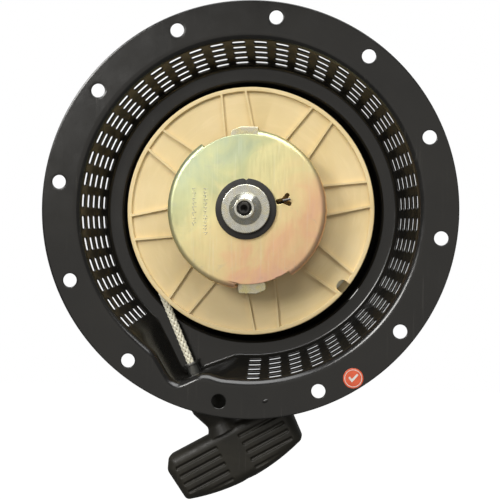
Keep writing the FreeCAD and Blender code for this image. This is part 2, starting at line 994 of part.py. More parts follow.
def return_spring():
    """Torsion spring: one leg down into the reel, the other up through the plate and hooked over."""
    wire = D.return_wire.value
    radius = D.return_spring_radius.value
    low = D.reel_boss.value + wire + 0.4
    turns = 3.5
    pitch = 2.4
    winding = coil(radius, wire, low, turns, pitch)
    foot = Vector(radius, 0, D.reel_boss.value - 5)
    bend = Vector(radius, 0, low)
    lower_leg = Part.makeCylinder(wire, low - foot.z, foot)
    top = Vector(-radius, 0, low + turns * pitch)
    tail_height = D.plate_top.value + wire + 1.2
    reach = 24.5
    out = Part.makeCylinder(wire, reach - radius, top, Vector(-1, 0, 0))
    corner = Vector(-reach, 0, top.z)
    up = Part.makeCylinder(wire, tail_height - top.z, corner)
    hook = Vector(-reach, 0, tail_height)
    over = Part.makeCylinder(wire, 4.5, hook, Vector(-1, 0, 0))
    joints = [Part.makeSphere(wire, place) for place in (bend, top, corner, hook)]
    shape = winding.fuse([lower_leg, out, up, over] + joints)
    return free_shape("return_spring", shape, raised(0, 180 + D.return_slot_angle.value))


# --------------------------------------------------------------------------- handle


def handle():
    """A moulded T grip: x runs outwards along the pull, y across the grip."""
    body = new_body("handle", raised(D.rope_level.value) * at_guide)
    grip = new_sketch(body)
    outline(
        grip,
        [
            (D.grip_top, -(D.grip_half - 5), 3),
            (D.grip_top + 7.5, -D.grip_half, 5),
            (D.grip_bottom, -(D.grip_half - 2.2), 3.5),
            (D.grip_bulge, 0, 140),
            (D.grip_bottom, D.grip_half - 2.2, 3.5),
            (D.grip_top + 7.5, D.grip_half, 5),
            (D.grip_top, D.grip_half - 5, 3),
        ],
    )
    pad(body, grip, D.grip_thickness, both_ways=True)
    half = D.grip_thickness.value / 2

    def on_face(edge):
        box = edge.BoundBox
        return box.ZLength < 1e-6 and abs(abs(box.Center.z) - half) < 1e-4

    soften(body, "Fillet", D.grip_edge, on_face)

    stem = new_sketch(body, "XY_Plane")
    outline(
        stem,
        [
            (D.handle_start, 0),
            (D.handle_start, D.collar_radius, 2),
            (D.collar_end, D.collar_radius, 4),
            (D.grip_top - 4, D.stem_radius, 4),
            (D.grip_top + 3, D.stem_radius + 4),
            (D.grip_top + 3, 0),
        ],
    )
    turned = body.newObject("PartDesign::Revolution", "handleStem")
    turned.Profile = stem
    turned.ReferenceAxis = (stem, ["H_Axis"])
    turned.Angle = 360

    for top_side in (1, -1):
        face = Placement(Vector(0, 0, half * top_side), Rotation())
        first = new_sketch(body, "XY_Plane", face)
        for side in (1, -1):
            for row in range(5):
                near = D.grip_top + 8 + D.groove_pitch * row
                outline(
                    first,
                    [
                        (near, 8 * side),
                        (near, (D.grip_half - 7) * side),
                        (near + D.groove_width, (D.grip_half - 7) * side),
                        (near + D.groove_width, 8 * side),
                    ],
                )
        pocket(body, first, D.groove_depth * 2, both_ways=True)

    bore = new_sketch(body, "YZ_Plane")
    circle(bore, 0, 0, D.handle_bore)
    pocket(body, bore, 100, reverse=True)
    floor = Placement(Vector(0, 0, D.knot_pocket_floor.value), Rotation())
    seat = new_sketch(body, "YZ_Plane", floor)
    circle(seat, 0, 0, D.knot_pocket_radius)
    pocket(body, seat, 60, reverse=True)
    return body


def handle_washer():
    """The steel washer that the knot pulls against."""
    along = raised(D.rope_level.value) * at_guide * Placement(
        Vector(D.knot_pocket_floor.value, 0, 0), Rotation(Vector(0, 1, 0), 90)
    )
    return spun_body(
        "handle_washer",
        [
            (D.handle_bore, 0),
            (D.knot_pocket_radius - 0.5, 0),
            (D.knot_pocket_radius - 0.5, 1.5),
            (D.handle_bore, 1.5),
        ],
        along,
    )


def handle_knot():
    knot = doc.addObject("Part::Ellipsoid", "handle_knot")
    knot.Label = "handle_knot"
    knot.Radius1 = 6.4
    knot.Radius2 = 5.6
    knot.Radius3 = 5.6
    centre = Placement(Vector(D.knot_pocket_floor.value + 7.5, 0, 0), Rotation())
    knot.Placement = upright * raised(D.rope_level.value) * at_guide * centre
    return knot


# --------------------------------------------------------------------------- sticker


def inspection_sticker():
    return spun_body(
        "inspection_sticker",
        [
            (0, 0),
            (D.sticker_radius, 0),
            (D.sticker_radius, 0.15),
            (0, 0.15),
        ],
        Placement(Vector(D.sticker_x.value, D.sticker_y.value, 0), Rotation()),
    )


# --------------------------------------------------------------------------- build, check and write


def build():
    pieces = [
        housing(),
        centre_post(),
        post_backing_washer(),
        spring_anchor_pin(),
        recoil_spring(),
        reel(),
        reel_bush(),
        wound_rope(),
        rope_knot(),
        rope_to_guide(),
        rope_outer(),
        rope_guide(),
        friction_plate(),
        friction_spring(),
        return_spring(),
        friction_ring(),
        flat_washer(),
        flange_nut(),
        handle(),
        handle_washer(),
        handle_knot(),
        inspection_sticker(),
    ]
    for letter, turn in (("a", 0), ("b", 180)):
        pieces.append(pawl(f"pawl_{letter}", turn))
        pieces.append(pawl_pin(f"pawl_pin_{letter}", turn))
    return pieces


def write(pieces):
    doc.recompute()
    for obj in doc.Objects:
        if {"Invalid", "Error"} & set(obj.State):
            raise RuntimeError(f"{obj.Name} failed: {obj.State}")
    os.makedirs("parts", exist_ok=True)
    for piece in pieces:
        shape = piece.Shape
        if shape.isNull() or not shape.isValid() or not shape.Solids:
            raise RuntimeError(f"{piece.Label} has no valid solid")
        shape.exportStep(f"parts/{piece.Label}.step")
        print(f"{piece.Label}: {len(shape.Solids)} solid, {shape.Volume / 1000:.2f} cm3")


write(build())
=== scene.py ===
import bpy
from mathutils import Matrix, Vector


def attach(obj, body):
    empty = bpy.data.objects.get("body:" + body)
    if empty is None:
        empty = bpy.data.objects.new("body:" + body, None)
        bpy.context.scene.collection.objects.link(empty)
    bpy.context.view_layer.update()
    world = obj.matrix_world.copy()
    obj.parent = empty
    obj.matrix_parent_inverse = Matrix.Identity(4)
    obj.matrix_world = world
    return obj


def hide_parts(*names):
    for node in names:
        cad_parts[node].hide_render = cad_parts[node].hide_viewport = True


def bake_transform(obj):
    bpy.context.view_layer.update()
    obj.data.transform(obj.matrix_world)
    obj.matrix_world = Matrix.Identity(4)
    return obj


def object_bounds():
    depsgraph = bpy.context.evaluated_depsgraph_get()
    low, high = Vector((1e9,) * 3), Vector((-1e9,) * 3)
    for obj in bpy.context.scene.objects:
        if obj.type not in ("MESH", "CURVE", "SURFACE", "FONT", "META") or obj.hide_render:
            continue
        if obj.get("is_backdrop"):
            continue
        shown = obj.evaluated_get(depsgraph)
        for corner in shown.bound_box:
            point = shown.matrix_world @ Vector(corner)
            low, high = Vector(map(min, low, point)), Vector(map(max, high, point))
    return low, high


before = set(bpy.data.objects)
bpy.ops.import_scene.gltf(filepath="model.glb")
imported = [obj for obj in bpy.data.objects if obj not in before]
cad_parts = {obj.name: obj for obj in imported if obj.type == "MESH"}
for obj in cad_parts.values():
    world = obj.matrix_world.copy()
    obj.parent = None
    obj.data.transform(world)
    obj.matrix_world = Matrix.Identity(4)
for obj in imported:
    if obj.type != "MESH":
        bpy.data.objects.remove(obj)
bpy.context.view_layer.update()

import math
import random

import bmesh
import bpy
import numpy as np
from mathutils import Vector
from mathutils.geometry import delaunay_2d_cdt

scene = bpy.context.scene
random.seed(7)

# Shapes are worked out in millimetres about the starter's axis: z = 0 is the flange's mounting
# face, z grows towards the engine and the camera, x points right and y up.


def to_row(points):
    """Millimetres about the axis into the row frame's metres."""
    p = np.asarray(points, float)
    return np.stack((p[..., 0], -p[..., 2], p[..., 1]), -1) / 1000


# ------------------------------------------------------------------ materials


class Look:
    """A procedural material, with short ways to add its nodes."""

    def __init__(self, name, **fixed):
        self.material = bpy.data.materials.new(name)
        self.material.use_nodes = True
        self.tree = self.material.node_tree
        self.shader = self.tree.nodes["Principled BSDF"]
        for socket, value in fixed.items():
            self.shader.inputs[socket.replace("_", " ")].default_value = value
        self.place = self.add("ShaderNodeTexCoord").outputs["Object"]

    def add(self, kind, inputs=None, **settings):
        node = self.tree.nodes.new(kind)
        for key, value in settings.items():
            setattr(node, key, value)
        for socket, value in (inputs or {}).items():
            if isinstance(value, bpy.types.NodeSocket):
                self.tree.links.new(value, node.inputs[socket])
            else:
                node.inputs[socket].default_value = value
        return node

    def noise(self, size, detail=2.0, roughness=0.5, where=None, distortion=0.0):
        """Noise whose features are about size metres across."""
        inputs = {
            "Vector": where or self.place,
            "Scale": 1 / size,
            "Detail": detail,
            "Roughness": roughness,
            "Distortion": distortion,
        }
        return self.add("ShaderNodeTexNoise", inputs).outputs["Fac"]

    def cells(self, size, where=None, feature="F1"):
        inputs = {"Vector": where or self.place, "Scale": 1 / size}
        return self.add("ShaderNodeTexVoronoi", inputs, feature=feature).outputs["Distance"]

    def mapped(self, location=(0, 0, 0), rotation=(0, 0, 0), scale=(1, 1, 1), where=None):
        inputs = {
            "Vector": where or self.place,
            "Location": location,
            "Rotation": rotation,
            "Scale": scale,
        }
        return self.add("ShaderNodeMapping", inputs).outputs["Vector"]

    def axes(self, where=None):
        return self.add("ShaderNodeSeparateXYZ", {"Vector": where or self.place}).outputs

    def sums(self, operation, first, second=0.0, third=0.0):
        inputs = {0: first, 1: second, 2: third}
        return self.add("ShaderNodeMath", inputs, operation=operation).outputs[0]

    def span(self, value, low, high, to_low=0.0, to_high=1.0):
        """Value from low..high onto to_low..to_high, held at the ends."""
        inputs = {"Value": value, 1: low, 2: high, 3: to_low, 4: to_high}
        return self.add("ShaderNodeMapRange", inputs).outputs["Result"]

    def ramp(self, value, *stops):
        node = self.add("ShaderNodeValToRGB", {"Fac": value})
        elements = node.color_ramp.elements
        while len(elements) < len(stops):
            elements.new(0.5)
        for element, (position, colour) in zip(elements, stops):
            element.position = position
            element.color = (*colour, 1)
        return node.outputs["Color"]

    def mixed(self, amount, first, second):
        """The first colour, giving way to the second as amount grows to 1."""
        node = self.add("ShaderNodeMix", data_type="RGBA")
        for index, value in ((0, amount), (6, first), (7, second)):
            if isinstance(value, bpy.types.NodeSocket):
                self.tree.links.new(value, node.inputs[index])
            else:
                node.inputs[index].default_value = value if index == 0 else (*value, 1)
        return node.outputs[2]

    def bump(self, height, depth, under=None):
        """A relief depth metres deep, laid over the one under it."""
        inputs = {"Height": height, "Distance": depth, "Strength": 1.0}
        if under is not None:
            inputs["Normal"] = under
        return self.add("ShaderNodeBump", inputs).outputs["Normal"]

    def give(self, **sockets):
        for socket, value in sockets.items():
            self.tree.links.new(value, self.shader.inputs[socket.replace("_", " ")])
        return self.material


def scratches(look, size, seed, density=0.5):
    """Fine straight hairs in three directions, 1 on a hair and 0 off it."""
    found = None
    for turn in (0.4, 1.5, 2.5):
        stretched = look.mapped(
            location=(seed, seed * 2, 0), rotation=(0, turn, 0), scale=(1, 1, 0.03)
        )
        hair = look.span(look.noise(size, 1.0, 0.4, stretched), 0.72 - density * 0.1, 0.76)
        found = hair if found is None else look.sums("MAXIMUM", found, hair)
    return found


def black_paint():
    look = Look("black_paint", Specular_IOR_Level=0.5, Coat_Weight=0.25, Coat_Roughness=0.12)
    cloud = look.noise(0.05, 4.0, 0.6)
    colour = look.ramp(cloud, (0.3, (0.0062, 0.0060, 0.0056)), (0.7, (0.0105, 0.0098, 0.0085)))
    dust = look.span(look.noise(0.0011, 3.0, 0.8), 0.66, 0.80)
    patches = look.span(look.noise(0.03, 2.0), 0.45, 0.75)
    dusty = look.sums("MULTIPLY", dust, patches)
    colour = look.mixed(look.sums("MULTIPLY", dusty, 0.35), colour, (0.16, 0.15, 0.13))
    hairs = look.sums("MULTIPLY", scratches(look, 0.0016, 3.0, 0.3), patches)
    colour = look.mixed(look.sums("MULTIPLY", hairs, 0.25), colour, (0.10, 0.095, 0.085))
    fleck = look.span(look.cells(0.012), 0.0, 0.028, 1.0, 0.0)
    chosen = look.span(look.noise(0.045), 0.56, 0.60)
    chip = look.sums("MULTIPLY", fleck, chosen)
    colour = look.mixed(look.sums("MULTIPLY", chip, 0.7), colour, (0.28, 0.27, 0.25))
    rough = look.span(look.noise(0.018, 5.0, 0.65), 0.3, 0.7, 0.17, 0.27)
    rough = look.sums("ADD", rough, look.sums("MULTIPLY", dusty, 0.3))
    relief = look.bump(look.noise(0.0028, 2.0), 0.00003)
    relief = look.bump(look.noise(0.028, 1.0), 0.00022, relief)
    return look.give(Base_Color=colour, Roughness=rough, Normal=relief)


def cream_plastic():
    look = Look("cream_plastic", Specular_IOR_Level=0.45, Subsurface_Weight=0.08)
    look.shader.inputs["Subsurface Radius"].default_value = (0.004, 0.003, 0.001)
    axis = look.axes()
    radius = look.sums("SQRT", look.sums("ADD",
        look.sums("POWER", axis[0], 2.0), look.sums("POWER", axis[2], 2.0)))
    turn = look.sums("ARCTAN2", axis[2], axis[0])
    unrolled = {0: look.sums("MULTIPLY", turn, 0.012), 1: radius}
    flow = look.add("ShaderNodeCombineXYZ", unrolled).outputs[0]
    marks = look.noise(0.006, 4.0, 0.6, flow, 1.2)
    cloud = look.noise(0.035, 3.0)
    colour = look.ramp(cloud, (0.3, (0.70, 0.545, 0.275)), (0.7, (0.79, 0.63, 0.345)))
    colour = look.mixed(look.span(marks, 0.5, 0.75, 0.0, 0.35), colour, (0.86, 0.70, 0.41))
    grime = look.span(look.noise(0.0009, 3.0, 0.8), 0.68, 0.8)
    colour = look.mixed(look.sums("MULTIPLY", grime, 0.35), colour, (0.30, 0.22, 0.11))
    rough = look.span(marks, 0.3, 0.7, 0.36, 0.5)
    relief = look.bump(look.noise(0.0006, 3.0, 0.6), 0.00001)
    relief = look.bump(marks, 0.00006, relief)
    return look.give(Base_Color=colour, Roughness=rough, Normal=relief)


def yellow_zinc():
    """Chromated zinc: its film drifts from blue-green through yellow to rose across the plate."""
    look = Look("yellow_zinc", Metallic=0.82)
    axis = look.axes()
    drift = look.sums("MULTIPLY_ADD", axis[0], 5.2, 0.52)
    drift = look.sums("MULTIPLY_ADD", axis[2], -7.4, drift)
    cloud = look.span(look.noise(0.03, 4.0, 0.55, None, 0.8), 0.25, 0.75, -0.2, 0.2)
    drift = look.sums("ADD", drift, cloud)
    colour = look.ramp(
        drift,
        (0.02, (0.44, 0.51, 0.35)),
        (0.22, (0.60, 0.61, 0.33)),
        (0.44, (0.86, 0.76, 0.39)),
        (0.66, (0.93, 0.73, 0.38)),
        (0.84, (0.95, 0.60, 0.34)),
        (1.00, (0.90, 0.53, 0.38)),
    )
    stain = look.span(look.noise(0.011, 5.0, 0.65, None, 0.6), 0.6, 0.78)
    colour = look.mixed(look.sums("MULTIPLY", stain, 0.45), colour, (0.46, 0.42, 0.33))
    rolled = look.noise(0.0009, 2.0, 0.5, look.mapped(scale=(1, 1, 0.06)))
    hairs = scratches(look, 0.0011, 9.0, 0.6)
    colour = look.mixed(look.sums("MULTIPLY", hairs, 0.12), colour, (0.92, 0.90, 0.82))
    rough = look.span(rolled, 0.3, 0.7, 0.34, 0.46)
    rough = look.sums("ADD", rough, look.sums("MULTIPLY", stain, 0.12))
    relief = look.bump(look.noise(0.014, 2.0), 0.00015)
    relief = look.bump(rolled, 0.000004, relief)
    return look.give(Base_Color=colour, Roughness=rough, Normal=relief)


def bare_metal(name, dark, light, rough_low, rough_high, grain, tint=None):
    """Turned, drawn or plated metal with fine grain, stains and worn edges."""
    look = Look(name, Metallic=0.96)
    cloud = look.noise(0.006, 4.0, 0.6)
    colour = look.ramp(cloud, (0.3, dark), (0.7, light))
    if tint:
        film = look.span(look.noise(0.005, 2.0, 0.5, None, 1.0), 0.45, 0.7, 0.0, 0.6)
        colour = look.mixed(film, colour, tint)
    spots = look.span(look.noise(0.0012, 3.0, 0.7), 0.64, 0.78)
    colour = look.mixed(look.sums("MULTIPLY", spots, 0.4), colour, (0.16, 0.12, 0.08))
    fine = look.noise(grain, 2.0, 0.6, look.mapped(scale=(1, 0.2, 1)))
    rough = look.span(fine, 0.3, 0.7, rough_low, rough_high)
    relief = look.bump(fine, 0.000006)
    return look.give(Base_Color=colour, Roughness=rough, Normal=relief)


def dark_moulding(name, low, high, grain, rough_low, rough_high):
    """Black or brown moulded plastic and rubber: fine grain, paler scuffs and settled dust."""
    look = Look(name, Specular_IOR_Level=0.45)
    colour = look.ramp(look.noise(0.012, 4.0, 0.6), (0.3, low), (0.7, high))
    hairs = scratches(look, 0.0013, 5.0, 0.5)
    scuff = look.sums("MULTIPLY", hairs, look.span(look.noise(0.02), 0.45, 0.7))
    pale = tuple(0.05 + 1.6 * part for part in high)
    colour = look.mixed(look.sums("MULTIPLY", scuff, 0.35), colour, pale)
    dust = look.span(look.noise(0.0007, 3.0, 0.8), 0.66, 0.8)
    colour = look.mixed(look.sums("MULTIPLY", dust, 0.3), colour, pale)
    rough = look.span(look.noise(0.006, 4.0), 0.3, 0.7, rough_low, rough_high)
    relief = look.bump(look.noise(grain, 3.0, 0.6), 0.00004)
    return look.give(Base_Color=colour, Roughness=rough, Normal=relief)


def rope_strands(name, dark, light):
    """Twisted nylon yarn, a little soiled."""
    look = Look(name, Specular_IOR_Level=0.3, Sheen_Weight=0.25, Sheen_Roughness=0.5)
    fibre = look.noise(0.00035, 2.0, 0.6, look.mapped(rotation=(0, 0.4, 0), scale=(1, 1, 0.25)))
    colour = look.ramp(fibre, (0.3, dark), (0.7, light))
    soil = look.span(look.noise(0.004, 4.0, 0.7), 0.55, 0.8, 0.0, 0.4)
    colour = look.mixed(soil, colour, (0.36, 0.30, 0.19))
    rough = look.span(fibre, 0.3, 0.7, 0.6, 0.8)
    return look.give(Base_Color=colour, Roughness=rough, Normal=look.bump(fibre, 0.00008))


def rope_braid(start, turn):
    """The same yarn drawn as a braid by relief, on a rope leaning turn radians from start; its
    colour darkens in the braid's dips as painted shade between the strands.
    """
    look = Look("rope_braid", Specular_IOR_Level=0.3, Sheen_Weight=0.25, Sheen_Roughness=0.5)
    moved = look.mapped(location=[-value for value in start])
    lay = look.axes(look.mapped(rotation=(0, turn, 0), where=moved))
    around = look.sums("ARCTAN2", lay[1], lay[2])
    strands, pitch = 8.0, 0.016
    along = look.sums("MULTIPLY", lay[0], 2 * math.pi * strands / pitch)
    around = look.sums("MULTIPLY", around, strands)
    one = look.sums("SINE", look.sums("ADD", around, along))
    other = look.sums("SINE", look.sums("SUBTRACT", around, along))
    weave = look.sums("MAXIMUM", look.sums("MULTIPLY", one, look.sums("SINE", along)),
        look.sums("MULTIPLY", other, look.sums("COSINE", along)))
    height = look.span(weave, -0.3, 1.0)
    fibre = look.noise(0.0004, 2.0, 0.6)
    # Painted shade: the colour goes dark brown where the weave dips between strands and stays pale
    # on the strand tops.
    colour = look.mixed(height, (0.30, 0.25, 0.14), (0.78, 0.73, 0.55))
    colour = look.mixed(look.span(fibre, 0.4, 0.8, 0.0, 0.5), colour, (0.42, 0.36, 0.24))
    rough = look.span(fibre, 0.3, 0.7, 0.6, 0.8)
    return look.give(Base_Color=colour, Roughness=rough, Normal=look.bump(height, 0.0004))


def label_paper():
    look = Look("label_paper", Specular_IOR_Level=0.5, Coat_Weight=0.4, Coat_Roughness=0.15)
    cloud = look.noise(0.003, 3.0)
    colour = look.ramp(cloud, (0.3, (0.66, 0.085, 0.03)), (0.7, (0.80, 0.13, 0.05)))
    rough = look.span(look.noise(0.0015, 3.0), 0.3, 0.7, 0.3, 0.42)
    relief = look.bump(look.noise(0.002), 0.00002)
    return look.give(Base_Color=colour, Roughness=rough, Normal=relief)


def label_print():
    look = Look("label_print", Specular_IOR_Level=0.5)
    cloud = look.noise(0.0008, 3.0)
    colour = look.ramp(cloud, (0.35, (0.70, 0.66, 0.60)), (0.65, (0.84, 0.82, 0.78)))
    rough = look.span(look.noise(0.0006, 3.0), 0.3, 0.7, 0.35, 0.5)
    relief = look.bump(look.noise(0.0006), 0.00001)
    return look.give(Base_Color=colour, Roughness=rough, Normal=relief)


def pale_floor():
    look = Look("pale_floor", Specular_IOR_Level=0.1, Emission_Strength=0.9)
    look.shader.inputs["Emission Color"].default_value = (1, 1, 0.995, 1)
    colour = look.ramp(look.noise(0.4, 3.0), (0.3, (0.86, 0.86, 0.85)), (0.7, (0.90, 0.90, 0.89)))
    rough = look.span(look.noise(0.05, 3.0), 0.3, 0.7, 0.75, 0.85)
    return look.give(Base_Color=colour, Roughness=rough)


STEEL = ((0.34, 0.33, 0.31), (0.50, 0.49, 0.46))
paint = black_paint()
plastic = cream_plastic()
chromate = yellow_zinc()
zinc = bare_metal(
    "zinc_plate", (0.62, 0.62, 0.56), (0.80, 0.79, 0.72), 0.20, 0.32, 0.0006, (0.80, 0.72, 0.46)
)
turned_steel = bare_metal("turned_steel", *STEEL, 0.22, 0.36, 0.0004)
spring_steel = bare_metal("spring_steel", (0.10, 0.10, 0.11), (0.20, 0.19, 0.19), 0.25, 0.4, 0.0005)
pawl_steel = bare_metal(
    "pawl_steel", (0.66, 0.62, 0.48), (0.84, 0.78, 0.58), 0.24, 0.38, 0.0006, (0.92, 0.80, 0.30)
)
dark_steel = bare_metal(
    "dark_steel", (0.035, 0.034, 0.033), (0.075, 0.072, 0.068), 0.3, 0.45, 0.0004
)
guide_steel = bare_metal("guide_steel", (0.13, 0.13, 0.12), (0.24, 0.235, 0.22), 0.3, 0.45, 0.0005)
grip_plastic = dark_moulding(
    "grip_plastic", (0.012, 0.0105, 0.007), (0.021, 0.0185, 0.012), 0.0007, 0.42, 0.56
)
fibre_black = dark_moulding(
    "fibre_black", (0.010, 0.009, 0.008), (0.022, 0.019, 0.016), 0.0004, 0.5, 0.7
)
yarn = rope_strands("rope_strands", (0.82, 0.78, 0.60), (0.95, 0.92, 0.78))
# The rope core's dark yarn colours are painted shade, standing for the shadow between the braid's
# strands.
shadowed_yarn = rope_strands("rope_core", (0.16, 0.12, 0.055), (0.30, 0.24, 0.13))
label = label_paper()
ink = label_print()

# ------------------------------------------------------------------ making pieces


def piece(name, points, faces, look, body, slot, nodes=(), sharp=32, bevel=0.0, sides=2):
    """A mesh from points in the row frame that rides on body and stands for the CAD nodes."""
    mesh = bpy.data.meshes.new(name)
    mesh.from_pydata(np.asarray(points).tolist(), [], [tuple(map(int, face)) for face in faces])
    return finished(name, mesh, look, body, slot, nodes, sharp, bevel, sides)


def finished(name, mesh, look, body, slot, nodes=(), sharp=32, bevel=0.0, sides=2):
    mesh.validate()
    mesh.materials.clear()
    mesh.materials.append(look)
    mesh.shade_smooth()
    mesh.set_sharp_from_angle(angle=math.radians(sharp))
    obj = bpy.data.objects.new(name, mesh)
    scene.collection.objects.link(obj)
    if bevel:
        soften = obj.modifiers.new("edges", "BEVEL")
        soften.limit_method = "ANGLE"
        soften.angle_limit = math.radians(sharp)
        soften.width = bevel / 1000
        soften.segments = sides
        soften.harden_normals = True
    if body:
        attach(obj, body)
    if nodes:
        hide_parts(*nodes)
    return obj


def cad_mesh(node):
    """A copy of a CAD node's mesh with its faces joined and its flat areas made whole."""
    mesh = bpy.data.meshes.new(node + "_copy")
    bm = bmesh.new()
    bm.from_mesh(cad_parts[node].data)
    bmesh.ops.remove_doubles(bm, verts=bm.verts, dist=2e-6)
    bmesh.ops.dissolve_limit(bm, angle_limit=math.radians(0.5), verts=bm.verts, edges=bm.edges)
    bm.to_mesh(mesh)
    bm.free()
    return mesh


def refined(name, node, look, body, slot, bevel, sides=2):
    """The CAD node again, with softened edges."""
    return finished(name, cad_mesh(node), look, body, slot, [node], 28, bevel, sides)


def dressed(node, look):
    """The CAD node as it is, in another material."""
    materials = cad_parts[node].data.materials
    materials.clear()
    materials.append(look)


def spun(profile, count=144):
    """Points and faces of a closed profile, a function of the angle, carried round the axis."""
    angles = [2 * math.pi * i / count for i in range(count)]
    points, faces = [], []
    for angle in angles:
        for radius, height in profile(angle):
            points.append((radius * math.cos(angle), radius * math.sin(angle), height))
    rows = len(points) // count
    for i in range(count):
        for j in range(rows):
            k, m = (i + 1) % count, (j + 1) % rows
            faces.append((i * rows + j, k * rows + j, k * rows + m, i * rows + m))
    return to_row(points), faces


# ------------------------------------------------------------------ pressed housing

SHEET = 1.6
POST_HOLE, FLOOR_RADIUS, FLOOR_DEPTH = 7, 86.5, 45
MOUTH, SHOULDER, DEPTH = 111.1, 96.9, 29.0
FLANGE_RADIUS, BOLT_CIRCLE, BOLT_HOLE, BOLTS, FIRST_BOLT = 135, 125, 4.5, 12, 22
SLOT_ROWS, FIRST_SLOT, SLOT_PITCH, SLOT_HALF_LENGTH, SLOT_HALF_WIDTH = 5, 5.8, 5.3, 4.3, 1.2
CORNER_RADII = (6.0, 3.0, 3.0, 6.0)
CELLS, CELL_DEGREES, FIRST_CELL = 42, 310.2 / 41, -87.7
SEAM = FIRST_CELL - CELL_DEGREES / 2
EDGE = 0.55
EDGE_STEPS = (0.0, 0.12, 0.3, EDGE)
ROPE_HEADING = math.radians(-66.85)

# The rope pocket's rim and foot, as corners given along and across the rope. Its rim nips in
# a little at one angle.
POCKET_RIM = [(86, 70.4), (86, 86), (81, 89.6), (62, 92.3), (43, 102.4)]
POCKET_FOOT = [(85.5, 45.7), (85.5, 83), (79, 85), (60, 86), (42.7, 87)]
NIP_DEPTH, NIP_ANGLE, NIP_WIDTH = 2.1, 256.4, 2.6
SOFTENING = 1.1
STEP = 0.25
STEPS = np.arange(0, 360, STEP)


def outline_radius(corners):
    """Distance from the axis at each of STEPS, for corners given along and across the rope."""
    along = np.array([math.cos(ROPE_HEADING), math.sin(ROPE_HEADING)])
    across = np.array([along[1], -along[0]])
    dense = []
    for (s0, p0), (s1, p1) in zip(corners, corners[1:]):
        for part in np.linspace(0, 1, 60):
            dense.append((s0 + (s1 - s0) * part) * along + (p0 + (p1 - p0) * part) * across)
    dense = np.array(dense)
    angle = np.degrees(np.arctan2(dense[:, 1], dense[:, 0])) % 360
    order = np.argsort(angle)
    radius = np.hypot(dense[:, 0], dense[:, 1])
    return np.interp(STEPS, angle[order], radius[order], 0, 0)


def smoothed(values, degrees):
    reach = np.arange(-40, 41)
    weights = np.exp(-0.5 * (reach * STEP / degrees) ** 2)
    padded = np.concatenate((values[-40:], values, values[:40]))
    return np.convolve(padded, weights / weights.sum(), "valid")


top_radius = smoothed(np.maximum(MOUTH, outline_radius(POCKET_RIM)), SOFTENING)
top_radius -= NIP_DEPTH * np.exp(-0.5 * ((STEPS - NIP_ANGLE) / NIP_WIDTH) ** 2)
low_radius = smoothed(np.maximum(SHOULDER, outline_radius(POCKET_FOOT)), SOFTENING)


def section(theta):
    """Starts, ends and centres of the nine stretches of the sheet's front profile at each angle."""
    theta = np.asarray(theta) % 360
    top = np.interp(theta, STEPS, top_radius, period=360)
    low = np.interp(theta, STEPS, low_radius, period=360)
    one = np.ones_like(top)
    corners = np.array(
        [
            (POST_HOLE * one, -FLOOR_DEPTH * one),
            (FLOOR_RADIUS * one, -FLOOR_DEPTH * one),
            (FLOOR_RADIUS * one, -DEPTH * one),
            (low, -DEPTH * one),
            (top, 0 * one),
            (FLANGE_RADIUS * one, 0 * one),
        ]
    )
    stretches = []
    start = corners[0]
    for i, radius in enumerate(CORNER_RADII, start=1):
        before = corners[i] - corners[i - 1]
        after = corners[i + 1] - corners[i]
        before = before / np.hypot(*before)
        after = after / np.hypot(*after)
        turn = np.arctan2(before[0] * after[1] - before[1] * after[0], (before * after).sum(0))
        reach = radius * np.tan(np.abs(turn) / 2)
        entry = corners[i] - before * reach
        centre = entry + np.sign(turn) * radius * np.array([-before[1], before[0]])
        stretches.append(("line", start, entry))
        stretches.append(("arc", entry, centre, turn))
        start = corners[i] + after * reach
    stretches.append(("line", start, corners[5]))
    return stretches


def length_of(stretch):
    if stretch[0] == "line":
        return float(np.hypot(*(stretch[2] - stretch[1]))[0])
    spoke = stretch[1] - stretch[2]
    return float((np.hypot(*spoke) * np.abs(stretch[3]))[0])


PLAIN = [length_of(stretch) for stretch in section(np.array([90.0]))]
STARTS = np.concatenate(([0.0], np.cumsum(PLAIN)))
WALL, FLANGE = 6, 8


def on_sheet(theta, run):
    """Points of the front face at angles theta and at distances run along the plain profile."""
    index = np.clip(np.searchsorted(STARTS, run, "right") - 1, 0, FLANGE)
    share = (run - STARTS[index]) / np.array(PLAIN)[index]
    flat = np.zeros((2, len(theta)))
    for i, stretch in enumerate(section(theta)):
        here = index == i
        f = share[here]
        if stretch[0] == "line":
            flat[:, here] = stretch[1][:, here] * (1 - f) + stretch[2][:, here] * f
            continue
        centre = stretch[2][:, here]
        spoke = stretch[1][:, here] - centre
        angle = stretch[3][here] * f
        turned = np.array(
            [
                spoke[0] * np.cos(angle) - spoke[1] * np.sin(angle),
                spoke[0] * np.sin(angle) + spoke[1] * np.cos(angle),
            ]
        )
        flat[:, here] = centre + turned
    turn = np.radians(theta)
    return np.stack((flat[0] * np.cos(turn), flat[0] * np.sin(turn), flat[1]), -1)


def stadium(along, across, half_length, half_width, grow):
    """Points round a slot with round ends, long along the first axis."""
    radius = half_width + grow
    straight = half_length - half_width
    points = []
    for side in (1, -1):
        for i in range(9):
            angle = math.pi * (i / 8 - 0.5)
            end = straight + radius * math.cos(angle)
            points.append((side * end, side * radius * math.sin(angle)))
        for i in range(1, 5):
            points.append((side * straight * (1 - 2 * i / 5), side * radius))
    return [(along + x, across + y) for x, y in points]


def triangulated(grid, loops):
    """A flat mesh of grid points and hole loops; each hole's inside is left open."""
    verts, edges, marks = list(grid), [], [9.0] * len(grid)
    for step, points in loops:
        base = len(verts)
        verts += points
        marks += [step] * len(points)
        edges += [(base + i, base + (i + 1) % len(points)) for i in range(len(points))]
    made = delaunay_2d_cdt([Vector(v) for v in verts], edges, [], 0, 1e-6)
    origin = made[3]
    where = np.array([tuple(v) for v in made[0]])
    mark = np.array([marks[o[0]] if o else 9.0 for o in origin])
    faces = [f for f in made[2] if not all(mark[i] == 0 for i in f)]
    return where, mark, faces


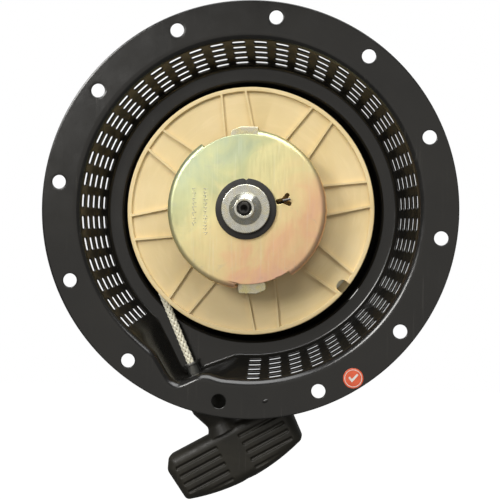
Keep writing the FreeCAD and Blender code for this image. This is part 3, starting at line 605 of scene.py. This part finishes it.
def housing_patches():
    """Patches of (angle, run, distance from an edge) and faces, which meet along shared points."""
    cell_columns = np.linspace(-CELL_DEGREES / 2, CELL_DEGREES / 2, 13)
    pocket_start = SEAM + CELLS * CELL_DEGREES
    pocket_columns = np.linspace(pocket_start, SEAM + 360, 91)
    columns = [SEAM + CELL_DEGREES * c + cell_columns[:-1] + CELL_DEGREES / 2 for c in range(CELLS)]
    columns = np.concatenate(columns + [pocket_columns])

    # Rows of faces along each stretch that has no holes.
    rows = {0: 9, 1: 10, 2: 5, 3: 8, 4: 4, 5: 8, 7: 12}
    for stretch, count in rows.items():
        runs = np.linspace(STARTS[stretch], STARTS[stretch + 1], count + 1)
        yield grid_patch(columns, runs)
    wall_rows = np.linspace(STARTS[WALL], STARTS[WALL + 1], 27)
    yield grid_patch(pocket_columns, wall_rows)

    slant = math.hypot(MOUTH - SHOULDER, DEPTH)
    bend = CORNER_RADII[2] * math.tan(math.atan2(DEPTH, MOUTH - SHOULDER) / 2)
    wall_radius, slot_half_angle, clear = 105, 2.85, 0.35
    scale = math.radians(1) * wall_radius
    loops, centres = [], []
    for row in range(SLOT_ROWS):
        down = FIRST_SLOT + SLOT_PITCH * row
        run = STARTS[WALL] + slant - bend - down
        radius = MOUTH - down * (MOUTH - SHOULDER) / slant
        centres.append(run)
        for step in EDGE_STEPS:
            points = stadium(0, run, SLOT_HALF_LENGTH, SLOT_HALF_WIDTH, step)
            spread = [(math.degrees(math.atan2(x, radius)) * scale, y) for x, y in points]
            loops.append((step, spread))
    grid = []
    for theta in cell_columns:
        for run in wall_rows:
            beside = any(abs(run - c) < SLOT_HALF_WIDTH + EDGE + clear for c in centres)
            if not (beside and abs(theta) < slot_half_angle):
                grid.append((theta * scale, run))
    where, mark, faces = triangulated(grid, loops)
    for c in range(CELLS):
        yield where[:, 0] / scale + FIRST_CELL + CELL_DEGREES * c, where[:, 1], mark, faces

    rim = STARTS[FLANGE + 1]
    plain_rows = np.linspace(STARTS[FLANGE], rim - 1.6, 10)
    flange_rows = np.concatenate((plain_rows, rim - np.array(EDGE_STEPS[::-1])))
    scale = math.radians(1) * BOLT_CIRCLE
    loops, holes = [], []
    for k in range(BOLTS):
        middle = FIRST_BOLT + 360 / BOLTS * k
        while middle < SEAM:
            middle += 360
        while middle > SEAM + 360:
            middle -= 360
        holes.append(middle)
        for step in EDGE_STEPS:
            round_ = np.linspace(0, 2 * math.pi, 40, endpoint=False)
            x = BOLT_CIRCLE + (BOLT_HOLE + step) * np.cos(round_)
            y = (BOLT_HOLE + step) * np.sin(round_)
            theta = middle + np.degrees(np.arctan2(y, x))
            start = section(theta)[FLANGE][1][0]
            share = (np.hypot(x, y) - start) / (FLANGE_RADIUS - start)
            run = STARTS[FLANGE] + share * PLAIN[FLANGE]
            loops.append((step, [(t * scale, r) for t, r in zip(theta, run)]))
    grid = []
    for theta in columns:
        start = section(np.array([theta]))[FLANGE][1][0][0]
        for run in flange_rows:
            share = (run - STARTS[FLANGE]) / PLAIN[FLANGE]
            radius = start + share * (FLANGE_RADIUS - start)
            turns = [math.radians(theta - hole) for hole in holes]
            near = min(
                math.hypot(radius * math.cos(turn) - BOLT_CIRCLE, radius * math.sin(turn))
                for turn in turns
            )
            if near > BOLT_HOLE + EDGE + 0.5 or run in (flange_rows[0], rim):
                grid.append((theta * scale, run))
    where, mark, faces = triangulated(grid, loops)
    mark = np.minimum(mark, rim - where[:, 1])
    yield where[:, 0] / scale, where[:, 1], mark, faces


def grid_patch(columns, runs):
    theta, run = np.meshgrid(columns, runs, indexing="ij")
    count = len(runs)
    faces = [
        (i * count + j, i * count + j + 1, (i + 1) * count + j + 1, (i + 1) * count + j)
        for i in range(len(columns) - 1)
        for j in range(count - 1)
    ]
    return theta.ravel(), run.ravel(), np.full(theta.size, 9.0), faces


def housing():
    theta, run, mark, faces = [], [], [], []
    base = 0
    for t, r, m, f in housing_patches():
        theta.append(t)
        run.append(r)
        mark.append(m)
        faces += [tuple(base + i for i in face) for face in f]
        base += len(t)
    theta, run, mark = map(np.concatenate, (theta, run, mark))
    key = np.stack((np.round((theta - SEAM) % 360 % 359.99999, 5), np.round(run, 5)), -1)
    _, first, same = np.unique(key, axis=0, return_index=True, return_inverse=True)
    same = same.ravel()
    theta, run, mark = theta[first], run[first], mark[first]
    faces = [tuple(same[i] for i in face) for face in faces]
    faces = [face for face in faces if len(set(face)) == len(face)]

    front = on_sheet(theta, run)
    step_round = on_sheet(theta + 0.1, run) - on_sheet(theta - 0.1, run)
    outer = on_sheet(theta, np.minimum(run + 0.05, STARTS[-1]))
    inner = on_sheet(theta, np.maximum(run - 0.05, 0))
    step_out = outer - inner
    normal = np.cross(step_out, step_round)
    normal /= np.linalg.norm(normal, axis=1)[:, None]
    spread = np.clip(mark / EDGE, 0, 1)
    sink = (EDGE * (1 - np.sqrt(1 - (1 - spread) ** 2)))[:, None]
    skin = np.concatenate((front - normal * sink, front - normal * (SHEET - sink)))

    count = len(front)
    uses = {}
    for face in faces:
        for a, b in zip(face, face[1:] + face[:1]):
            uses[(a, b)] = uses.get((a, b), 0) + 1
    rims = [edge for edge in uses if (edge[1], edge[0]) not in uses]
    shell = faces + [tuple(i + count for i in reversed(face)) for face in faces]
    shell += [(b, a, a + count, b + count) for a, b in rims]
    obj = piece(
        "housing_shell", to_row(skin), shell, paint, "housing", "black_paint", ["housing"], sharp=60
    )
    tidy = bmesh.new()
    tidy.from_mesh(obj.data)
    bmesh.ops.recalc_face_normals(tidy, faces=tidy.faces)
    tidy.to_mesh(obj.data)
    tidy.free()


housing()

# ------------------------------------------------------------------ reel and what turns with it

refined("reel_moulding", "reel", plastic, "reel", "cream_plastic", 0.28)
refined("bush", "reel_bush", turned_steel, "reel", "turned_steel", 0.2)
for letter in "ab":
    pawl = f"pawl_{letter}"
    refined(pawl + "_plated", pawl, pawl_steel, pawl, "pawl_steel", 0.5, 3)
    dressed(f"pawl_pin_{letter}", turned_steel)

# ------------------------------------------------------------------ friction plate and its stack

refined("friction_plate_pressed", "friction_plate", chromate, "friction_plate", "yellow_zinc", 0.3)


def stamped_marks():
    """Short strokes in two columns, standing a little proud of the plate."""
    back, front, thick, first, gap = 7.99, 8.16, 0.42, 13.0, 0.9
    columns = ((-34.6, -11.5, 3.0), (-27.4, -16.0, 2.0))
    points, faces = [], []
    for x, last, tall in columns:
        y = first
        while y > last:
            height = random.uniform(0.5, 1.0) * tall
            width = random.uniform(2.2, 3.4)
            lean = random.uniform(-0.5, 0.5)
            strokes = [((0, 0), (width, lean))]
            strokes.append(((width * random.choice((0.1, 0.5, 0.9)), 0), (width * 0.5, -height)))
            for (x0, y0), (x1, y1) in strokes:
                length = math.hypot(x1 - x0, y1 - y0)
                aside = (-(y1 - y0) / length * thick / 2, (x1 - x0) / length * thick / 2)
                base = len(points)
                for level, slim in ((back, 1.0), (front, 0.6)):
                    for px, py, side in ((x0, y0, 1), (x0, y0, -1), (x1, y1, -1), (x1, y1, 1)):
                        right = x + px + aside[0] * side * slim
                        above = y + py + aside[1] * side * slim
                        points.append((right, above, level))
                faces.append((base + 4, base + 5, base + 6, base + 7))
                faces.append((base + 3, base + 2, base + 1, base))
                for k in range(4):
                    n = (k + 1) % 4
                    faces.append((base + k, base + n, base + 4 + n, base + 4 + k))
            y -= height + gap
    piece("stamped_marks", to_row(points), faces, zinc, "friction_plate", "yellow_zinc")


stamped_marks()


def friction_ring_fibre():
    """The ring under the washer, whose nick at the top is only a shallow, rounded bite."""
    outer, inner, back, front = 19.4, 9.3, 8.1, 10.15
    bite, bite_angle = 1.0, 3.0

    def profile(angle):
        off_top = (math.degrees(angle) - 90 + 180) % 360 - 180
        edge = outer - bite * math.exp(-((off_top / bite_angle) ** 4))
        return [
            (inner, back),
            (edge - 0.3, back),
            (edge, back + 0.3),
            (edge, front - 0.5),
            (edge - 0.15, front - 0.15),
            (edge - 0.5, front),
            (inner, front),
        ]

    points, faces = spun(profile, 240)
    slot, node = "black_friction", "friction_ring"
    piece("friction_ring_fibre", points, faces, fibre_black, "housing", slot, [node])


friction_ring_fibre()
refined("flat_washer_plated", "flat_washer", zinc, "housing", "zinc_plate", 0.15)


def flange_nut():
    """A hexagon on a flange, its corners cut by a cone."""
    seat, half_flats, top, bore, crown, flange = 12.2, 6.5, 20.2, 4.02, 6.2, 10.3

    def profile(angle):
        sector = (angle + math.pi / 6) % (math.pi / 3) - math.pi / 6
        flat = half_flats / math.cos(sector + (math.pi / 6 if sector < 0 else -math.pi / 6))
        cut = top - max(0.0, flat - crown) * math.tan(math.radians(32))
        edge = min(flat, 6.9)
        return [
            (bore, seat),
            (flange - 0.4, seat),
            (flange, seat + 0.25),
            (flange, seat + 1.0),
            (flange - 0.25, seat + 1.35),
            (edge + 0.5, seat + 3.0),
            (edge, seat + 3.5),
            (flat, seat + 3.9),
            (flat, cut),
            (crown, top),
            (4.9, top),
            (bore, top - 0.7),
        ]

    points, faces = spun(profile, 144)
    piece("nut", points, faces, zinc, "housing", "zinc_plate", ["flange_nut"], 28, 0.12)


flange_nut()


def post():
    """The post, from the riveted head behind the floor to its threaded end."""
    major, groove, pitch, turns, thread_start, thread_end = 4.0, 0.55, 0.8, 12, 11.0, 20.3

    def profile(angle):
        wave = angle / (2 * math.pi)
        thread = []
        for i in range(turns):
            for part, depth in ((0.0, 0.0), (0.5, groove)):
                z = thread_start + (i + part + wave) * pitch
                thread.append((major - depth, min(z, thread_end)))
        return [
            (0.05, -51.0),
            (9.0, -51.0),
            (10.4, -50.3),
            (11.0, -48.7),
            (7.0, -48.6),
            (7.0, -45.0),
            (15.0, -45.0),
            (15.0, -43.0),
            (9.0, -43.0),
            (9.0, 9.9),
            (8.7, 10.2),
            (major, 10.2),
            *thread,
            (major, thread_end),
            (3.3, 21.0),
            (2.3, 21.0),
            (1.9, 20.6),
            (0.05, 18.4),
        ]

    points, faces = spun(profile, 96)
    piece("post", points, faces, dark_steel, "housing", "turned_steel", ["centre_post"], 30)


post()
refined("backing_washer", "post_backing_washer", zinc, "housing", "zinc_plate", 0.3)
refined("spring_anchor", "spring_anchor_pin", turned_steel, "housing", "turned_steel", 0.2)

# ------------------------------------------------------------------ springs

for node in ("recoil_spring", "friction_spring"):
    dressed(node, spring_steel)

tail = cad_mesh("return_spring")
spring = finished("return_spring_wire", tail, spring_steel, None, "spring_steel", ["return_spring"])
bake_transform(spring)

# ------------------------------------------------------------------ rope


def braid(name, centres, radius, body, node):
    """Eight strands over and under one another along a line of centres."""
    centres = np.asarray(centres, float)
    ahead = np.gradient(centres, axis=0)
    ahead /= np.linalg.norm(ahead, axis=1)[:, None]
    up = np.tile([0.0, 0.0, 1.0], (len(centres), 1))
    side = np.cross(ahead, up)
    travelled = np.concatenate(([0], np.cumsum(np.linalg.norm(np.diff(centres, axis=0), axis=1))))
    strands, pitch, ring = 4, 16.0, 12
    sunk, lift, half_wide, half_thick, core_depth = 0.64, 0.3, 0.84, 0.40, 0.85
    points, faces = [], []
    for way in (1, -1):
        for strand in range(strands):
            angle = 2 * math.pi * (strand / strands + way * travelled / pitch)
            weave = way * lift * np.cos(2 * math.pi * strands * travelled / pitch)
            out = np.cos(angle)[:, None] * side + np.sin(angle)[:, None] * up
            level = radius - sunk + weave
            middle = centres + out * level[:, None]
            flow = np.gradient(middle, axis=0)
            flow /= np.linalg.norm(flow, axis=1)[:, None]
            wide = np.cross(flow, out)
            base = len(points)
            for k in range(len(centres)):
                for j in range(ring):
                    a = 2 * math.pi * j / ring
                    across = wide[k] * half_wide * math.cos(a)
                    points.append(middle[k] + across + out[k] * half_thick * math.sin(a))
            for k in range(len(centres) - 1):
                for j in range(ring):
                    n = (j + 1) % ring
                    a, b = base + k * ring, base + (k + 1) * ring
                    faces.append((a + j, b + j, b + n, a + n))
    piece(name, to_row(points), faces, yarn, body, "braided_rope", [node], 60)
    # The core, in the dark yarn, is painted shade showing through between the strands.
    points, faces = core(centres, side, up, radius - core_depth)
    piece(name + "_core", to_row(points), faces, shadowed_yarn, body, "braided_rope", (), 60)


def core(centres, side, up, radius):
    """Points and faces of the plain core that shows between strands."""
    points, faces, ring = [], [], 16
    for k, centre in enumerate(centres):
        for j in range(ring):
            a = 2 * math.pi * j / ring
            points.append(centre + side[k] * radius * math.cos(a) + up[k] * radius * math.sin(a))
    for k in range(len(centres) - 1):
        for j in range(ring):
            n = (j + 1) % ring
            a, b = k * ring, (k + 1) * ring
            faces.append((a + j, b + j, b + n, a + n))
    faces.append(tuple(reversed(range(ring))))
    faces.append(tuple((len(centres) - 1) * ring + j for j in range(ring)))
    return points, faces


ROPE_LEVEL, ROPE_RADIUS, WOUND, RUN = -23.5, 2.5, 76.3, 88.63
ROPE_STEP, BEND_START, BEND_STEPS, OUTER_LENGTH = 0.5, RUN - 6, 25, 47.5
PULL = math.radians(-61)
HANDLE_TRAVEL = 0.9
heading = np.array([math.cos(ROPE_HEADING), math.sin(ROPE_HEADING), 0])
square = ROPE_HEADING - math.pi / 2
leaves = WOUND * np.array([math.cos(square), math.sin(square), 0])
leaves[2] = ROPE_LEVEL
straight = [leaves + heading * s for s in np.arange(0, BEND_START, ROPE_STEP)]
bend = []
for share in np.linspace(0, 1, BEND_STEPS):
    angle = ROPE_HEADING + (PULL - ROPE_HEADING) * share
    last = bend[-1] if bend else leaves + heading * BEND_START
    bend.append(last + ROPE_STEP * np.array([math.cos(angle), math.sin(angle), 0]))
braid("rope_run_braid", straight + bend, ROPE_RADIUS, "housing", "rope_run")

dressed("rope_wound", yarn)
dressed("rope_knot", yarn)


def pulled_rope():
    """The rope from the guide's mouth to the knot, laid straight along the line the handle is
    pulled.
    """
    ahead = np.array([math.cos(PULL), math.sin(PULL), 0])
    start = bend[-1] - ROPE_STEP * ahead
    side = np.array([-ahead[1], ahead[0], 0])
    up = np.array([0, 0, 1.0])
    points, faces = [], []
    ring, steps = 32, 100
    for k in range(steps):
        centre = start + ahead * (OUTER_LENGTH * k / (steps - 1))
        for j in range(ring):
            a = 2 * math.pi * j / ring
            across = side * ROPE_RADIUS * math.cos(a)
            points.append(centre + across + up * ROPE_RADIUS * math.sin(a))
    for k in range(steps - 1):
        for j in range(ring):
            n = (j + 1) % ring
            faces.append((k * ring + j, k * ring + n, (k + 1) * ring + n, (k + 1) * ring + j))
    faces.append(tuple(range(ring)))
    faces.append(tuple((steps - 1) * ring + j for j in reversed(range(ring))))
    look = rope_braid(to_row(start), -PULL)
    rope = piece(
        "rope_outer_braid", to_row(points), faces, look, None, "braided_rope", ["rope_outer"], 60
    )
    to_row(start + ahead * 1.0)
    to_row(start + ahead * 40)
    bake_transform(rope)


pulled_rope()
refined("ferrule", "rope_guide", guide_steel, "housing", "guide_steel", 0.15)

# ------------------------------------------------------------------ handle


def moulded_handle():
    """The CAD handle cast again with soft corners, as a moulding has them."""
    obj = finished("grip", cad_mesh("handle"), grip_plastic, None, None)
    cast = obj.modifiers.new("cast", "REMESH")
    cast.mode = "VOXEL"
    cast.voxel_size = 0.00045
    calm = obj.modifiers.new("calm", "SMOOTH")
    calm.iterations = 6
    calm.factor = 0.6
    final = obj.evaluated_get(bpy.context.evaluated_depsgraph_get())
    baked = bpy.data.meshes.new_from_object(final)
    bpy.data.objects.remove(obj)
    finished("handle_moulding", baked, grip_plastic, "handle", "black_plastic", ["handle"], 180)


moulded_handle()
refined("knot_washer", "handle_washer", zinc, "handle", "zinc_plate", 0.15)
dressed("handle_knot", yarn)

# ------------------------------------------------------------------ marks on the flange


def paint_run():
    """A small blob that the paint left below the mouth."""
    middle, height, lean = (12.8, -123.0), 0.5, math.radians(20)
    long_radius, short_radius = 2.0, 1.2
    rings, sides = 8, 24
    points = [(*middle, height)]
    for ring in range(1, rings + 1):
        reach = ring / rings
        for side in range(sides):
            turn = 2 * math.pi * side / sides
            a = reach * long_radius * math.cos(turn) * (1 + 0.12 * math.sin(2 * turn))
            b = reach * short_radius * math.sin(turn)
            x = middle[0] + a * math.cos(lean) - b * math.sin(lean)
            y = middle[1] + a * math.sin(lean) + b * math.cos(lean)
            points.append((x, y, height * (1 - reach**2) ** 0.8 - 0.02 * reach))
    faces = [(0, 1 + side, 1 + (side + 1) % sides) for side in range(sides)]
    for ring in range(rings - 1):
        for side in range(sides):
            a, b = 1 + ring * sides + side, 1 + ring * sides + (side + 1) % sides
            faces.append((a, a + sides, b + sides, b))
    faces.append(tuple(1 + (rings - 1) * sides + side for side in reversed(range(sides))))
    piece("paint_run", to_row(points), faces, paint, "housing", "black_paint", (), 80)


paint_run()


def sticker():
    """The round label and its mark, a tick in a ring."""
    centre = (69.0, -107.2)

    def disc(angle):
        return [(0.02, 0.0), (6.4, 0.0), (6.5, 0.05), (6.45, 0.12), (6.2, 0.15), (0.02, 0.16)]

    points, faces = spun(disc, 72)
    points = points + to_row((centre[0], centre[1], 0))
    piece("label", points, faces, label, "housing", "orange_label", ["inspection_sticker"], 50)
    tick = [(-3.1, 0.3), (-2.1, 1.2), (-0.9, -0.5), (2.4, 3.0), (3.3, 2.1), (-0.8, -2.6)]
    radius, corners, sides = 5.6, len(tick), 64
    turns = np.linspace(0, 2 * math.pi, sides, endpoint=False)
    ring = [(radius * math.cos(a), radius * math.sin(a)) for a in turns]
    inner = [(x * 0.93, y * 0.93) for x, y in ring]
    flat = tick + ring + inner
    points = [(centre[0] + x, centre[1] + y, z) for z in (0.155, 0.19) for x, y in flat]
    count = len(flat)
    faces = [tuple(reversed(range(corners))), tuple(count + k for k in range(corners))]
    for k in range(corners):
        n = (k + 1) % corners
        faces.append((k, n, count + n, count + k))
    for k in range(sides):
        n = (k + 1) % sides
        a, b = corners + k, corners + n
        c, d = b + sides, a + sides
        faces.append((count + a, count + b, count + c, count + d))
        faces.append((a, d, c, b))
        faces.append((a, b, count + b, count + a))
        faces.append((d, count + d, count + c, c))
    piece("label_mark", to_row(points), faces, ink, "housing", "orange_label")


sticker()

# ------------------------------------------------------------------ stage, light and camera


def area_light(name, place, aim, size, power, colour=(1, 1, 1), height=None):
    light = bpy.data.lights.new(name, "AREA")
    light.shape = "RECTANGLE"
    light.size = size
    light.size_y = height or size
    light.energy = power
    light.color = colour
    lamp = bpy.data.objects.new(name, light)
    lamp.location = place
    lamp.rotation_mode = "QUATERNION"
    lamp.rotation_quaternion = (Vector(aim) - Vector(place)).to_track_quat("-Z", "Y")
    scene.collection.objects.link(lamp)


def stage():
    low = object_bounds()[0]
    level = low.z - HANDLE_TRAVEL * abs(math.sin(PULL)) - 0.02
    mesh = bpy.data.meshes.new("floor")
    corners = [(-4, -4, level), (4, -4, level), (4, 6, level), (-4, 6, level)]
    mesh.from_pydata(corners, [], [(0, 1, 2, 3)])
    mesh.materials.append(pale_floor())
    floor = bpy.data.objects.new("floor", mesh)
    scene.collection.objects.link(floor)
    floor.visible_glossy = False
    floor.visible_diffuse = False
    floor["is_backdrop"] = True

    world = bpy.data.worlds.new("studio")
    world.use_nodes = True
    scene.world = world
    tree = world.node_tree
    seen = tree.nodes.new("ShaderNodeLightPath")
    tone = tree.nodes.new("ShaderNodeMix")
    tone.data_type = "RGBA"
    tone.inputs[6].default_value = (0.16, 0.16, 0.155, 1)
    tone.inputs[7].default_value = (1.0, 1.0, 1.0, 1)
    tree.links.new(seen.outputs["Is Camera Ray"], tone.inputs[0])
    tree.links.new(tone.outputs[2], tree.nodes["Background"].inputs["Color"])

    area_light("key", (0.05, -0.55, 0.92), (0, 0, -0.02), 1.0, 12.5, height=0.8)
    area_light("front", (-0.75, -1.10, 0.55), (0, 0, -0.05), 0.4, 9.5, (1.0, 0.985, 0.96))
    area_light("card", (0.1, -1.5, -0.1), (0, 0, 0), 1.7, 3.0, (1.0, 0.95, 0.87), height=1.3)

    scene.view_settings.view_transform = "Standard"
    camera = bpy.data.cameras.new("camera")
    camera.sensor_width = 36
    distance, width_seen = 0.6, 0.3202
    camera.lens = camera.sensor_width * distance / width_seen
    camera.shift_x = -0.0497
    camera.shift_y = 0.0022
    eye = bpy.data.objects.new("camera", camera)
    eye.location = (0.06, -distance, -0.0265)
    eye.rotation_euler = (math.radians(90), math.radians(-0.58), math.radians(4))
    scene.collection.objects.link(eye)
    scene.camera = eye


stage()
